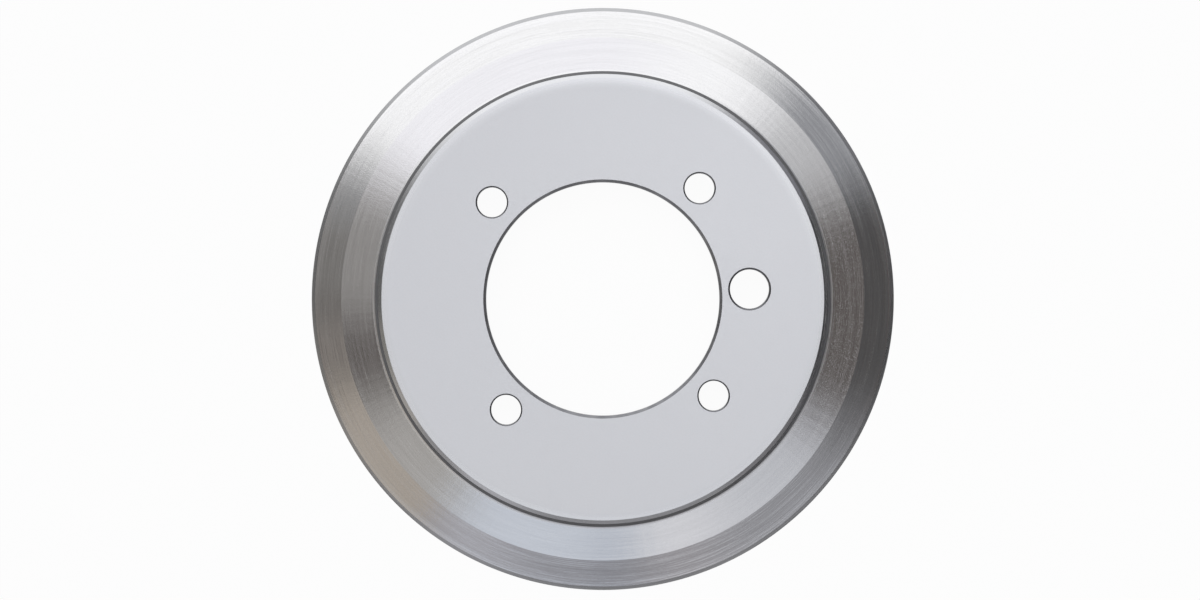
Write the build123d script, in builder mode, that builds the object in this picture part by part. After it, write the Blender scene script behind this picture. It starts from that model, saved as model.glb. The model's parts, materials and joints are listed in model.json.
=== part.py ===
from build123d import *
import os

# Cutting wheel: one turned and ground steel disc that lies on its flat back.
# Its axis is +Z and its origin is the centre of the back face.
# Driving dimensions are in millimetres.

# The ground rim, from the cutting edge inwards
cutting_diameter = 125.0
edge_facet_width = 0.75
edge_facet_height = 0.5
outer_bevel_width = 5.65
outer_bevel_height = 2.05
inner_bevel_width = 7.9
inner_bevel_height = 1.35

# The step up to the flat clamping face
step_foot_fillet = 1.3
step_wall_height = 1.55
step_chamfer_width = 0.8
step_chamfer_height = 0.55

# The centre bore, which seats on the arbor
bore_diameter = 50.0
bore_chamfer = 0.6

# Clearance holes for the clamping screws
screw_hole_count = 4
screw_hole_diameter = 6.4
screw_hole_chamfer = 0.3

# The hole for the driving pin, midway between two of the screw holes
pin_hole_diameter = 8.4
pin_hole_chamfer = 0.4

# The metal left between the bore and the pin hole, whose circle all holes share
bore_to_pin_hole = 2.3

# Radii and levels of the turned section
edge_radius = cutting_diameter / 2
facet_radius = edge_radius - edge_facet_width
crease_radius = facet_radius - outer_bevel_width
step_radius = crease_radius - inner_bevel_width
crease_level = edge_facet_height + outer_bevel_height
foot_level = crease_level + inner_bevel_height
brow_level = foot_level + step_wall_height
clamping_radius = step_radius - step_chamfer_width
clamping_level = brow_level + step_chamfer_height

# The circle of the holes, with the pin hole on +X and the screw holes off it
bore_radius = bore_diameter / 2
hole_circle_radius = bore_radius + bore_to_pin_hole + pin_hole_diameter / 2
first_screw_angle = 180 / screw_hole_count

with BuildPart() as cutting_wheel:
    # The turned blank: flat back, sharp edge at the back face, edge facet,
    # steeper outer bevel, shallow inner bevel and the step, which is rounded
    # at its foot and chamfered at its brow
    with BuildSketch(Plane.XZ) as section:
        with BuildLine():
            Polyline(
                (0, 0),
                (edge_radius, 0),
                (facet_radius, edge_facet_height),
                (crease_radius, crease_level),
                (step_radius, foot_level),
                (step_radius, brow_level),
                (clamping_radius, clamping_level),
                (0, clamping_level),
                close=True,
            )
        make_face()
        foot = section.vertices().sort_by_distance((step_radius, foot_level))[0]
        fillet(foot, step_foot_fillet)
    revolve(axis=Axis.Z)

    # The bore, then the holes round it, each chamfered at both its mouths
    Hole(bore_radius)
    bore_mouths = cutting_wheel.edges(Select.LAST).filter_by(GeomType.CIRCLE)
    chamfer(bore_mouths, bore_chamfer)

    with PolarLocations(hole_circle_radius, screw_hole_count, first_screw_angle):
        Hole(screw_hole_diameter / 2)
    screw_mouths = cutting_wheel.edges(Select.LAST).filter_by(GeomType.CIRCLE)
    chamfer(screw_mouths, screw_hole_chamfer)

    with Locations((hole_circle_radius, 0)):
        Hole(pin_hole_diameter / 2)
    pin_mouths = cutting_wheel.edges(Select.LAST).filter_by(GeomType.CIRCLE)
    chamfer(pin_mouths, pin_hole_chamfer)

cutting_wheel.part.label = "cutting_wheel"
os.makedirs("parts", exist_ok=True)
export_step(cutting_wheel.part, "parts/cutting_wheel.step")
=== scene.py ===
import json
from math import atan2, cos, degrees, pi, radians, sin, tan

import bmesh
import bpy
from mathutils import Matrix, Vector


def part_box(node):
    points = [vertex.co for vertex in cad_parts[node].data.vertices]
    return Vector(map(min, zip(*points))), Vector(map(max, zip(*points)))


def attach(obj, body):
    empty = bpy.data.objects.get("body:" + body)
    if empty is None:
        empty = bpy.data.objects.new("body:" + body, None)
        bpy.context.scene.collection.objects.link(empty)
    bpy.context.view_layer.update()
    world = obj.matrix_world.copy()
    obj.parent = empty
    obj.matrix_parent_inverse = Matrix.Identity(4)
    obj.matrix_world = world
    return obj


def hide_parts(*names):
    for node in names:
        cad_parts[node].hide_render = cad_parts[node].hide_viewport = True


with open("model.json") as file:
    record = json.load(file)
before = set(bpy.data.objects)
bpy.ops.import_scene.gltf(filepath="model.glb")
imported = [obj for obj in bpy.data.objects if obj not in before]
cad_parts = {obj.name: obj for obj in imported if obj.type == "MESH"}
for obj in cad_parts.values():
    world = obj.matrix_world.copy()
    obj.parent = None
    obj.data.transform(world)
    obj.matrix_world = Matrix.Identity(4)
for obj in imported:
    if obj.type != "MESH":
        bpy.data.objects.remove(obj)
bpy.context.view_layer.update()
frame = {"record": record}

# The turned rim. The wheel is one piece of tool steel, and its rim is turned and then ground to
# true cones: a narrow facet behind the cutting edge, a steeper outer bevel and a shallow inner
# one. Its diameter and thickness are those of the CAD wheel.
MM = 0.001
rim_steps = 720

facet_width = 0.75 * MM
facet_height = 0.5 * MM
outer_bevel_width = 5.65 * MM
outer_bevel_height = 2.05 * MM
inner_bevel_width = 7.9 * MM
inner_bevel_height = 1.35 * MM

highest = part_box("cutting_wheel")[1]
edge_radius = highest.x
thickness = highest.z
facet_radius = edge_radius - facet_width
crease_radius = facet_radius - outer_bevel_width
crease_level = facet_height + outer_bevel_height
step_radius = crease_radius - inner_bevel_width
foot_level = crease_level + inner_bevel_height

# Towards the facet the outer bevel is a little hollow: its fall eases off.
ease_width = 1.7 * MM
ease_turn = radians(2.0)
ease_steps = 6
mean_fall = atan2(outer_bevel_height, outer_bevel_width)
outer_fall = mean_fall + ease_turn / 2 * ease_width / outer_bevel_width
rim_fall = outer_fall - ease_turn
hollow_radius = ease_width / (sin(outer_fall) - sin(rim_fall))
hollow_centre = (
    facet_radius + hollow_radius * sin(rim_fall),
    facet_height + hollow_radius * cos(rim_fall),
)

# The wheel's mesh, and its finishes in the order of their material slots.
wheel = bmesh.new()
finishes = []


def circle(radius, height, centre=(0, 0), steps=rim_steps):
    """A level circle of points, such as one pass of the lathe tool leaves."""
    ring = []
    for step in range(steps):
        turn = 2 * pi * step / steps
        place = (centre[0] + radius * cos(turn), centre[1] + radius * sin(turn), height)
        ring.append(wheel.verts.new(place))
    return ring


def ridges(ring):
    """The edges along a circle, made as crisp as grinding leaves them."""
    edges = [wheel.edges.get(pair) for pair in zip(ring, ring[1:] + ring[:1])]
    for edge in edges:
        edge.smooth = False
    return edges


def turn_wall(start, profile, finish, centre=(0, 0)):
    """Turns one smooth stretch of a wall from a circle, through places given by their radius
    and height, with a crisp ridge at both its ends. Returns the circle where it ends."""
    ring = start
    for radius, height in profile:
        following = circle(radius, height, centre, len(start))
        corners = zip(ring, ring[1:] + ring[:1], following[1:] + following[:1], following)
        for quad in corners:
            face = wheel.faces.new(quad)
            face.smooth = True
            face.material_index = finishes.index(finish)
        ring = following
    ridges(start)
    ridges(ring)
    return ring


def arc(centre, radius, first, last, steps):
    """Places along an arc of the profile, without its first, from one lean of the arc's radius
    to another."""
    leans = [first + (last - first) * step / steps for step in range(1, steps + 1)]
    return [(centre[0] + radius * cos(lean), centre[1] + radius * sin(lean)) for lean in leans]


class Signal:
    """A socket in a node tree. Python's operators on it add Math nodes to that tree. The tree
    itself is a signal without a socket, and a node is added to it in the same way."""

    def __init__(self, tree, socket=None):
        self.tree = tree
        self.socket = socket

    def node(self, kind, output, inputs, **settings):
        """Adds a node of any other kind. Its settings are made first, then its inputs get their
        values or links. Returns one of its outputs, or None for a node that has none."""
        added = self.tree.nodes.new("ShaderNode" + kind)
        for name, value in settings.items():
            setattr(added, name, value)
        for name, value in inputs.items():
            if isinstance(value, Signal):
                self.tree.links.new(value.socket, added.inputs[name])
            else:
                added.inputs[name].default_value = value
        return None if output is None else Signal(self.tree, added.outputs[output])

    def maths(self, operation, *terms):
        """Adds a Math node."""
        return self.node("Math", "Value", dict(enumerate(terms)), operation=operation)

    def __add__(self, other):
        return self.maths("ADD", self, other)

    def __radd__(self, other):
        return self.maths("ADD", other, self)

    def __sub__(self, other):
        return self.maths("SUBTRACT", self, other)

    def __rsub__(self, other):
        return self.maths("SUBTRACT", other, self)

    def __mul__(self, other):
        return self.maths("MULTIPLY", self, other)

    def __rmul__(self, other):
        return self.maths("MULTIPLY", other, self)

    def __truediv__(self, other):
        return self.maths("DIVIDE", self, other)

    def __rtruediv__(self, other):
        return self.maths("DIVIDE", other, self)

    def __pow__(self, power):
        return self.maths("POWER", self, power)

    def __rpow__(self, base):
        return self.maths("POWER", base, self)

    def part(self, axis):
        """One of the three parts of a place: X, Y or Z."""
        return self.node("SeparateXYZ", axis, {"Vector": self})

    def rise(self, low=0.3, high=0.7):
        """0 below low and 1 above high, with a soft passage between them. By default it spreads
        out a noise, most of which lies between 0.3 and 0.7."""
        span = {"Value": self, "From Min": low, "From Max": high}
        return self.node("MapRange", "Result", span, interpolation_type="SMOOTHSTEP")

    def over(self, under, upper):
        """The upper colour laid over the one under it, by this signal. The colours' sockets go
        by number, because a Mix node has others of the same names before them."""
        factor, first_colour, second_colour, mixed_colour = 0, 6, 7, 2
        sockets = {factor: self, first_colour: under, second_colour: upper}
        return self.node("Mix", mixed_colour, sockets, data_type="RGBA")

    def tint(self, dark, light):
        """A colour between two plain colours, by this signal."""
        return self.over((*dark, 1), (*light, 1))

    def bump(self, height, strength=0.5):
        """The normal of a surface on which this signal stands up, to a height."""
        relief = {"Height": self, "Distance": height, "Strength": strength}
        return self.node("Bump", "Normal", relief)


def new_finish(name):
    """A material in the wheel's next slot, its node tree, and there the place on the wheel."""
    material = bpy.data.materials.new(name)
    material.use_nodes = True
    material.node_tree.nodes.clear()
    finishes.append(material)
    tree = Signal(material.node_tree)
    return material, tree, tree.node("TexCoord", "Object", {})


def steel_surface(tree, colour, roughness, normal, **constants):
    """Bare steel, with the constant values set on the shader's own sockets."""
    sockets = {"Base Color": colour, "Metallic": 1.0, "Roughness": roughness, "Normal": normal}
    sockets.update(constants)
    shader = tree.node("BsdfPrincipled", "BSDF", sockets)
    tree.node("OutputMaterial", None, {"Surface": shader})


def noise(place, scale=1.0, detail=2.0, harshness=0.5):
    """A cloudy pattern between 0 and 1. Detail adds smaller forms to it, and harshness makes
    them stand out."""
    grain = {"Vector": place, "Scale": scale, "Detail": detail, "Roughness": harshness}
    return place.node("TexNoise", "Fac", grain)


def from_axis(place):
    """How far a place is from the wheel's axis."""
    x = place.part("X")
    y = place.part("Y")
    return (x * x + y * y) ** 0.5


def lathe_lines(place, spacing, arcs, detail=2.0, seed=0.0):
    """Fine rings round the axis, a spacing apart. With more arcs, they fade in and out more
    often round the wheel."""
    radius = from_axis(place)
    parts = {
        "X": place.part("X") / radius * arcs + seed,
        "Y": place.part("Y") / radius * arcs,
        "Z": (radius - place.part("Z")) / spacing,
    }
    return noise(place.node("CombineXYZ", "Vector", parts), detail=detail, harshness=0.55)


# What the tool leaves in the steel: rings, slow ripples of its chatter, a grain and fine pits.
fine_ring = 0.28 * MM
broad_ring = 1.1 * MM
chatter_ripple = 30 * MM
grain_size = 0.22 * MM
pit_size = 0.28 * MM
relief_height = 0.035 * MM
relief_strength = 0.6
chatter_share = 0.3
grain_share = 0.4
coarse_rings = (0.42, 0.72)
deep_pits = (0.56, 0.72)
mean_pitting = 0.6
pitting_swing = 0.4


def ringed_steel(
    name, tones, roughness, streak=0.1, rings=0.4, grit=0.1, shine=0.0, pitted=0.0
):
    """Steel turned or ground in rings round its axis, between a dark and a light tone.

    streak: how much rougher its coarser rings are, so that they mirror the room less sharply
    rings, grit: how high its rings and its grain stand in its relief
    shine: how much lighter it becomes towards the facet, a painted sheen
    pitted: how much rougher its fine pits are, which lie mostly on the pin hole's side
    """
    material, tree, place = new_finish(name)
    fine = lathe_lines(place, fine_ring, arcs=4.5)
    broad = lathe_lines(place, broad_ring, arcs=2.2, seed=7.0)
    chatter = lathe_lines(place, chatter_ripple, arcs=34.0, detail=1.0, seed=3.0)
    grain = noise(place, 1 / grain_size, detail=1.0).rise()
    lines = (fine + broad) / 2
    tone = lines.rise() * (1 - grain_share) + grain * grain_share
    rough = roughness + streak * lines.rise(*coarse_rings)
    # A painted sheen: the colour is made lighter towards the facet.
    if shine:
        tone = tone + shine * from_axis(place).rise(facet_radius - ease_width, facet_radius)
    if pitted:
        pits = noise(place, 1 / pit_size, detail=1.0).rise(*deep_pits)
        side = mean_pitting + pitting_swing * (place.part("X") / from_axis(place))
        rough = rough + pitted * side * pits
    dark, light = tones
    colour = tone.tint((dark,) * 3, (light,) * 3)
    relief = chatter * chatter_share + lines * rings + grain * grit
    grip = {"Anisotropic": 0.9, "Anisotropic Rotation": 0.25}
    steel_surface(tree, colour, rough, relief.bump(relief_height, relief_strength), **grip)
    return material


inner_finish = ringed_steel(
    "ground_inner_bevel", tones=(0.6, 0.67), roughness=0.12, streak=0.03, rings=1.0, pitted=0.125
)
outer_finish = ringed_steel(
    "ground_outer_bevel", tones=(0.54, 0.665), roughness=0.11, rings=2.2, grit=0.17, shine=0.3
)
# The facet is painted darker than the bevels, as painted shade for the dark that it mirrors.
facet_finish = ringed_steel("honed_edge_facet", tones=(0.39, 0.455), roughness=0.27)

cutting_edge = circle(edge_radius, 0)
facet_ridge = turn_wall(cutting_edge, [(facet_radius, facet_height)], facet_finish)
rim_lean = -pi / 2 - rim_fall
bevel_lean = -pi / 2 - outer_fall
hollow = arc(hollow_centre, hollow_radius, rim_lean, bevel_lean, ease_steps)
crease = turn_wall(facet_ridge, hollow + [(crease_radius, crease_level)], outer_finish)

# The step. Inside the inner bevel the turning tool has left a low step, with a round foot, a
# straight wall and a chamfer. The grinding wheel doesn't reach into the corner, where the foot
# and the wall are painted dark as painted shade, and lapping has rounded off the brow a little.
foot_fillet = 1.3 * MM
run_out = radians(20)
foot_steps = 6
chamfer_width = 0.8 * MM
chamfer_height = 0.55 * MM
roll_width = 2.0 * MM
roll_fall = radians(3.8)
roll_steps = 6

# The corner's colours are painted shade, dark and dull.
corner_shade_dark = (0.088, 0.088, 0.091)
corner_shade_light = (0.132, 0.132, 0.136)
lapped_dark = (0.635, 0.645, 0.668)
lapped_light = (0.67, 0.68, 0.703)
corner_ring = 0.12 * MM
corner_shade_relief = 0.003 * MM
clouds_per_metre = 60.0
grains_per_metre = 2500.0
cloud_share = 0.6
lapped_relief = 0.01 * MM

bevel_fall = atan2(inner_bevel_height, inner_bevel_width)
fillet_reach = foot_fillet * tan((pi / 2 - bevel_fall) / 2)
foot_centre = (step_radius + foot_fillet, foot_level + fillet_reach)
foot_lean = -pi / 2 - bevel_fall
ground_lean = foot_lean - run_out
ground_foot = arc(foot_centre, foot_fillet, foot_lean, ground_lean, foot_steps)
dark_foot = arc(foot_centre, foot_fillet, ground_lean, -pi, foot_steps)
foot_start = (
    step_radius + fillet_reach * cos(bevel_fall),
    foot_level - fillet_reach * sin(bevel_fall),
)
chamfer_radius = step_radius - chamfer_width
roll_radius = roll_width / sin(roll_fall)
roll_centre = (chamfer_radius - roll_width, thickness - roll_radius)
chamfer_level = roll_centre[1] + roll_radius * cos(roll_fall)
brow_roll = arc(roll_centre, roll_radius, pi / 2 - roll_fall, pi / 2, roll_steps)


def corner_painted_shade():
    """Painted shade: a dull dark colour in the corner that grinding doesn't reach."""
    material, tree, place = new_finish("step_corner_painted_shade")
    fine = lathe_lines(place, corner_ring, arcs=8.0, seed=11.0)
    colour = fine.rise().tint(corner_shade_dark, corner_shade_light)
    rough = 0.4 + 0.08 * fine
    dull_surface = {"Metallic": 0.0, "Specular IOR Level": 1.0}
    steel_surface(tree, colour, rough, fine.bump(corner_shade_relief), **dull_surface)
    return material


def lapped_face():
    """Lapped steel: no lay, an even matt tone with a faint cloudiness, and darker and smoother
    at its brow."""
    material, tree, place = new_finish("lapped_clamping_face")
    cloud = noise(place, clouds_per_metre)
    grit = noise(place, grains_per_metre, detail=3.0)
    brow = from_axis(place).rise(chamfer_radius - roll_width, chamfer_radius)
    tone = (cloud * cloud_share + grit * (1 - cloud_share)).rise(0.2, 0.8) - brow
    colour = tone.tint(lapped_dark, lapped_light)
    rough = 0.33 + 0.06 * cloud - 0.13 * brow
    steel_surface(tree, colour, rough, grit.bump(lapped_relief, strength=0.6))
    return material


chamfer_finish = ringed_steel("turned_chamfer", tones=(0.58, 0.64), roughness=0.18)
# The start of the foot is painted lighter than the inner bevel, as a painted highlight ring.
run_out_painted_highlight = ringed_steel("turned_run_out_painted_highlight", tones=(0.66, 0.72), roughness=0.26)
corner_shade_finish = corner_painted_shade()
lapped_finish = lapped_face()

bevel_end = turn_wall(crease, [foot_start], inner_finish)
run_out_end = turn_wall(bevel_end, ground_foot, run_out_painted_highlight)
# The dark foot and the wall below the chamfer get the painted shade of the corner.
corner_end = turn_wall(run_out_end, dark_foot, corner_shade_finish)
wall_top = turn_wall(corner_end, [(step_radius, chamfer_level - chamfer_height)], corner_shade_finish)
chamfer_top = turn_wall(wall_top, [(chamfer_radius, chamfer_level)], chamfer_finish)
clamping_rim = turn_wall(chamfer_top, brow_roll, lapped_finish)

# The bore and the holes round it. The bore is bored to seat on its arbor, the four screw holes
# and the one pin hole are drilled on one circle, and every mouth is lightly chamfered. Their
# places and sizes are those of the part's mounts.
bore_steps = 360
hole_steps = 96
screw_hole_chamfer = 0.3 * MM
# The dark tones of the bore and the holes are painted shade.
drilled_dark = (0.24, 0.24, 0.25)
drilled_light = (0.32, 0.32, 0.33)
drilled_ring = 0.2 * MM
drilled_relief = 0.003 * MM

mounts = {mount["name"]: mount for mount in frame["record"]["mounts"]}


def drilled_wall():
    """Bored and drilled steel, with the fine rings of the tool, painted dark as painted shade
    inside the holes.
    """
    material, tree, place = new_finish("bored_and_drilled_walls")
    fine = lathe_lines(place, drilled_ring, arcs=8.0, seed=23.0)
    colour = fine.rise().tint(drilled_dark, drilled_light)
    rough = 0.3 + 0.06 * fine
    steel_surface(tree, colour, rough, fine.bump(drilled_relief))
    return material


def drill(centre, radius, chamfer, steps):
    """A hole through the wheel with both its mouths chamfered. Returns its two mouths."""
    top = circle(radius + chamfer, thickness, centre, steps)
    upper = turn_wall(top, [(radius, thickness - chamfer)], hole_finish, centre)
    lower = turn_wall(upper, [(radius, chamfer)], hole_finish, centre)
    return top, turn_wall(lower, [(radius + chamfer, 0)], hole_finish, centre)


hole_finish = drilled_wall()
mouths = []
for name, steps in (("centre_bore", bore_steps), ("pin_hole", hole_steps)):
    centre = mounts[name]["pos_m"][:2]
    dims = mounts[name]["dims"]
    chamfer = (thickness - dims["length_mm"] * MM) / 2
    mouths.append(drill(centre, dims["r_mm"] * MM, chamfer, steps))

# The screw holes are evenly spaced, and the pin hole is midway between two of them.
screws = mounts["screw_holes"]["dims"]
reach = screws["pcd_mm"] * MM / 2
for number in range(screws["count"]):
    turn = 2 * pi * (number + 0.5) / screws["count"]
    centre = (reach * cos(turn), reach * sin(turn))
    mouths.append(drill(centre, screws["hole_r_mm"] * MM, screw_hole_chamfer, hole_steps))

# The two flat faces. The clamping face is lapped to an even matt grey, and the back, on which
# the wheel lies, is ground flat in one plane with the cutting edge. They close the mesh, which
# then stands for the CAD wheel.
back_dark = (0.52, 0.53, 0.54)
back_light = (0.66, 0.67, 0.69)
back_relief = 0.005 * MM
lines_per_metre = (40.0, 3000.0, 40.0)


def ground_back():
    """Surface-ground steel, with straight grinding lines across the whole face."""
    material, tree, place = new_finish("ground_back_face")
    squeezing = {0: place, 1: lines_per_metre}
    squeezed = tree.node("VectorMath", "Vector", squeezing, operation="MULTIPLY")
    lines = noise(squeezed, detail=3.0)
    colour = lines.rise(0.25, 0.75).tint(back_dark, back_light)
    rough = 0.28 + 0.08 * lines
    steel_surface(tree, colour, rough, lines.bump(back_relief))
    return material


def fill_flat(rings, finish, up):
    """A flat face between circles that lie in one plane."""
    edges = [edge for ring in rings for edge in ridges(ring)]
    filled = bmesh.ops.triangle_fill(wheel, edges=edges, use_beauty=True, normal=(0, 0, up))
    for item in filled["geom"]:
        if isinstance(item, bmesh.types.BMFace):
            item.material_index = finishes.index(finish)


top_mouths, back_mouths = zip(*mouths)
fill_flat([clamping_rim, *top_mouths], lapped_finish, up=1)
fill_flat([cutting_edge, *back_mouths], ground_back(), up=-1)

bmesh.ops.recalc_face_normals(wheel, faces=wheel.faces)
wheel_mesh = bpy.data.meshes.new("turned_wheel")
wheel.to_mesh(wheel_mesh)
wheel.free()
for finish in finishes:
    wheel_mesh.materials.append(finish)
turned_wheel = bpy.data.objects.new("turned_wheel", wheel_mesh)
bpy.context.scene.collection.objects.link(turned_wheel)
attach(turned_wheel, "root")
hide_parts("cutting_wheel")

# The camera looks straight down on the wheel from well above it. In the picture the wheel is
# turned a little, and its axis lies a few pixels right of the middle and above it.
picture_width = 1200
picture_turn = radians(-3.88)
pixels_per_metre = 4.656 / MM
axis_right = 2.8
axis_up = 1.0
camera_height = 1.8
sensor_width = 36.0

camera_data = bpy.data.cameras.new("camera")
camera = bpy.data.objects.new("camera", camera_data)
bpy.context.scene.collection.objects.link(camera)
bpy.context.scene.camera = camera
camera_data.sensor_width = sensor_width
camera_data.lens = sensor_width * camera_height * pixels_per_metre / picture_width
across = -axis_right / pixels_per_metre
along = -axis_up / pixels_per_metre
camera.location = (
    across * cos(picture_turn) - along * sin(picture_turn),
    across * sin(picture_turn) + along * cos(picture_turn),
    camera_height,
)
camera.rotation_euler = (0, 0, picture_turn)

# The floor, which isn't part of the wheel: a wide round sheet of pale paper just under it. To
# the camera and in the steel it glows almost white, and what is left of its own shade keeps a
# soft shadow under the wheel.
floor_radius = 12.0
floor_drop = 0.02 * MM
floor_steps = 64
floor_glow = 0.95
paper_colour = (0.9, 0.9, 0.9, 1)
glow_colour = (1, 1, 1, 1)

floor_mesh = bpy.data.meshes.new("floor")
floor_form = bmesh.new()
bmesh.ops.create_circle(floor_form, cap_ends=True, segments=floor_steps, radius=floor_radius)
floor_form.to_mesh(floor_mesh)
floor_form.free()
floor = bpy.data.objects.new("floor", floor_mesh)
floor.location.z = -floor_drop
bpy.context.scene.collection.objects.link(floor)

floor_material = bpy.data.materials.new("pale_floor")
floor_material.use_nodes = True
floor_material.node_tree.nodes.clear()
tree = Signal(floor_material.node_tree)
seen = tree.node("LightPath", "Is Camera Ray", {})
mirrored = tree.node("LightPath", "Is Glossy Ray", {})
through = tree.node("LightPath", "Is Transmission Ray", {})
share = floor_glow * tree.maths("MAXIMUM", seen, tree.maths("MAXIMUM", mirrored, through))
paper = tree.node("BsdfDiffuse", "BSDF", {"Color": paper_colour})
glow = tree.node("Emission", "Emission", {"Color": glow_colour, "Strength": 1.0})
floor_look = tree.node("MixShader", "Shader", {0: share, 1: paper, 2: glow})
tree.node("OutputMaterial", None, {"Surface": floor_look})
floor_mesh.materials.append(floor_material)

# The studio round the wheel. A slope mirrors one level of the room: the inner bevel the high
# one, the outer bevel the middle one and the steep edges the low one. Under a bright ceiling
# with one lamp, each level is a dark wall with soft-edged panels.
ceiling = (1.08, 1.08, 1.09)
tilt_softness = 3.0

# A level has the tilt at which it begins, counted from straight above, the colour of its wall,
# and its panels. A panel has the turns at which it begins and ends, counted from the picture's
# right, the softness of these two edges, and its colour. Tilts and turns are in degrees.
levels = {
    "ceiling": (6, ceiling, {
        "lamp": ((58, 112), (14, 12), (1.35, 1.35, 1.37)),
    }),
    "high": (12, (0.121, 0.104, 0.098), {
        "upper_right_sail": ((24, 60), (11, 9), (0.71, 0.71, 0.73)),
        "left_sail": ((145, 184.5), (4, 8), (0.36, 0.345, 0.335)),
        "lower_left_sail": ((204, 240), (10, 5), (0.515, 0.495, 0.473)),
        "window": ((234.5, 300), (8, 5), (0.80, 0.85, 0.95)),
        "window_post": ((268, 277), (5, 4), (0.67, 0.72, 0.82)),
        "front_right_sail": ((279.5, 330), (5, 12), (0.74, 0.755, 0.81)),
        "front_right_lamp": ((279.5, 299), (5, 14), (0.97, 0.97, 1.02)),
        "softbox": ((52, 151), (12, 11), (1.36, 1.35, 1.41)),
        "softbox_lamp": ((52, 76), (12, 14), (1.46, 1.46, 1.48)),
    }),
    "middle": (36, (0.118, 0.1165, 0.119), {
        "upper_right_wall": ((24, 60), (9, 9), (0.395, 0.405, 0.435)),
        "left_wall": ((140, 196), (4, 9), (0.36, 0.325, 0.30)),
        "left_edge": ((140, 165), (4, 2), (0.36, 0.36, 0.365)),
        "left_shade": ((165, 185.5), (2, 2), (0.28, 0.268, 0.258)),
        "left_post": ((179, 184.5), (1, 2), (0.235, 0.218, 0.205)),
        "lower_left_wall": ((197.5, 235), (8, 6), (0.615, 0.545, 0.472)),
        "front_wall": ((232.5, 280), (5, 5), (0.41, 0.41, 0.445)),
        "front_glow": ((232.5, 250), (4, 10), (0.57, 0.56, 0.60)),
        "front_post": ((267.5, 277), (4, 4), (0.35, 0.35, 0.385)),
        "front_right_wall": ((278, 331), (5, 17), (0.395, 0.395, 0.42)),
        "front_right_glow": ((279, 294), (4, 9), (0.45, 0.435, 0.46)),
        "softbox": ((53.5, 150), (12, 10), (1.53, 1.53, 1.54)),
    }),
    "low": (56, (0.047, 0.047, 0.052), {
        "upper_right_wall": ((25, 70), (7, 9), (0.235, 0.235, 0.265)),
        "left_wall": ((135, 184.5), (9, 2), (0.145, 0.145, 0.145)),
        "left_edge": ((135, 167), (9, 3), (0.19, 0.19, 0.195)),
        "lower_left_wall": ((184.5, 232), (2, 5), (0.28, 0.27, 0.25)),
        "lower_left_shelf": ((200, 215), (6, 3), (0.45, 0.43, 0.41)),
        "front_wall": ((215, 306), (3, 3), (0.32, 0.32, 0.34)),
        "front_glow": ((231, 249), (4, 9), (0.52, 0.52, 0.56)),
        "front_right_wall": ((305, 330), (3, 18), (0.225, 0.22, 0.235)),
        "softbox": ((59, 139.5), (13, 19), (1.35, 1.37, 1.42)),
    }),
}

world = bpy.data.worlds.new("studio")
world.use_nodes = True
world.node_tree.nodes.clear()
bpy.context.scene.world = world
tree = Signal(world.node_tree)
ray = tree.node("TexCoord", "Generated", {})
bearing = tree.maths("ARCTAN2", ray.part("Y"), ray.part("X"))
turn = bearing * degrees(1) - degrees(picture_turn)
tilt = tree.maths("ARCCOSINE", ray.part("Z")) * degrees(1)
light = (*ceiling, 1)
for first_tilt, wall, panels in levels.values():
    level = (*wall, 1)
    for (first, last), (first_softness, last_softness), colour in panels.values():
        half = (last - first) / 2
        offset = tree.maths("WRAP", turn - (first + half), 180.0, -180.0)
        begun = offset.rise(-half - first_softness, -half + first_softness)
        ended = offset.rise(half - last_softness, half + last_softness)
        level = (begun * (1 - ended)).over(level, (*colour, 1))
    below = tilt.rise(first_tilt - tilt_softness, first_tilt + tilt_softness)
    light = below.over(light, level)
background = tree.node("Background", "Background", {"Color": light, "Strength": 1.0})
tree.node("OutputWorld", None, {"Surface": background})

# A small soft lamp, a disc that hangs above the wheel's upper right, out of the camera's
# sight. It makes that side of the matt clamping face a little lighter.
lamp_turn = radians(38) + picture_turn
lamp_reach = 0.05
lamp_height = 0.35
lamp_size = 0.07
lamp_power = 0.0085

lamp_data = bpy.data.lights.new("top_lamp", "AREA")
lamp_data.shape = "DISK"
lamp_data.size = lamp_size
lamp_data.energy = lamp_power
lamp = bpy.data.objects.new("top_lamp", lamp_data)
lamp.location = (lamp_reach * cos(lamp_turn), lamp_reach * sin(lamp_turn), lamp_height)
lamp.visible_camera = False
bpy.context.scene.collection.objects.link(lamp)

# Colours are shown as they are written.
bpy.context.scene.view_settings.view_transform = "Standard"

bpy.context.view_layer.update()
